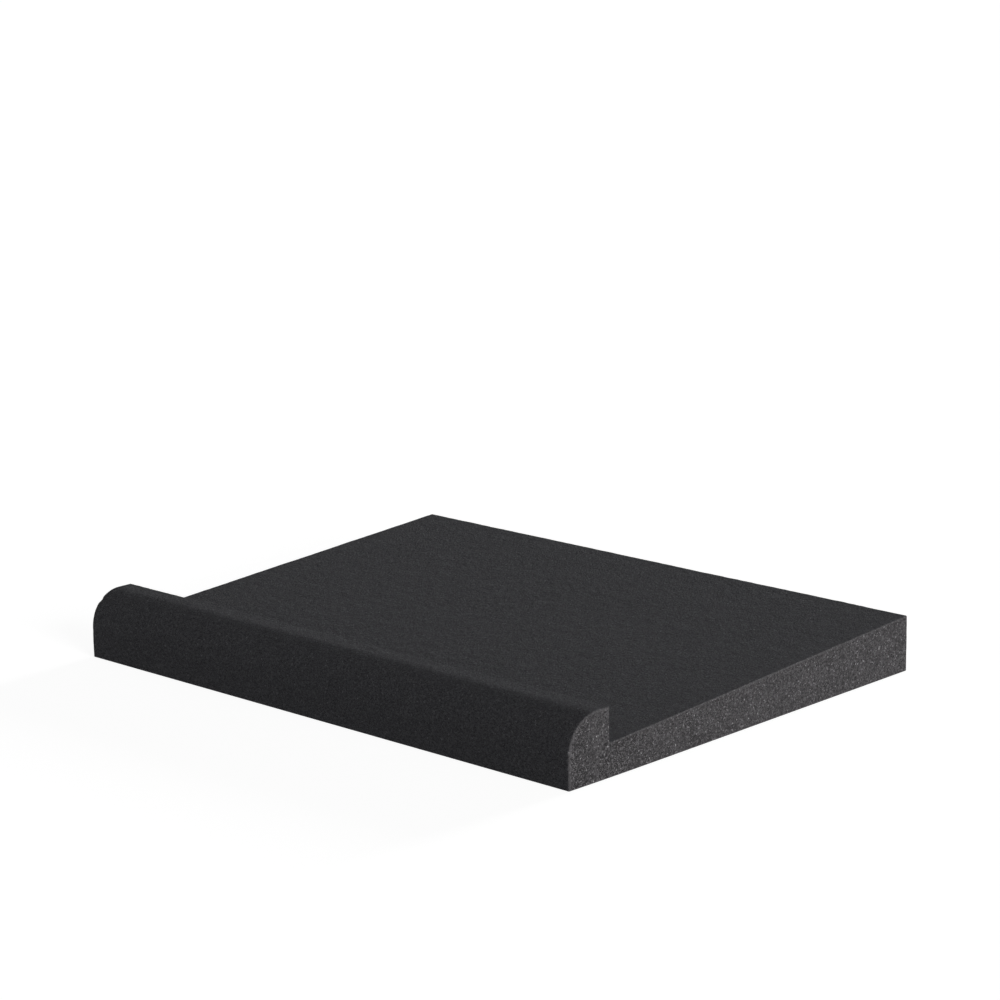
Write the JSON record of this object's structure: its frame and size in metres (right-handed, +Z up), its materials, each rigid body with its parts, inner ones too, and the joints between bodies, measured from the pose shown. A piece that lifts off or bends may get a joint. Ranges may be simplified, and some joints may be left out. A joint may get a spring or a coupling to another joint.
{
  "type": "speaker isolation pad",
  "caption": "Charcoal foam wedge with a raised, rounded front lip. A loudspeaker stands on its sloping seat, tilted and held off the desk.",
  "frame": {"origin": "middle of the footprint, on the flat face that rests on the desk", "axes": "+X along the width, +Y from the lip to the thick rear edge, +Z up"},
  "size_m": [0.4, 0.3, 0.0405],
  "materials": {
    "charcoal_foam": "matte"
  },
  "bodies": {
    "root": {"isolation_pad": "charcoal_foam"}
  },
  "joints": []
}
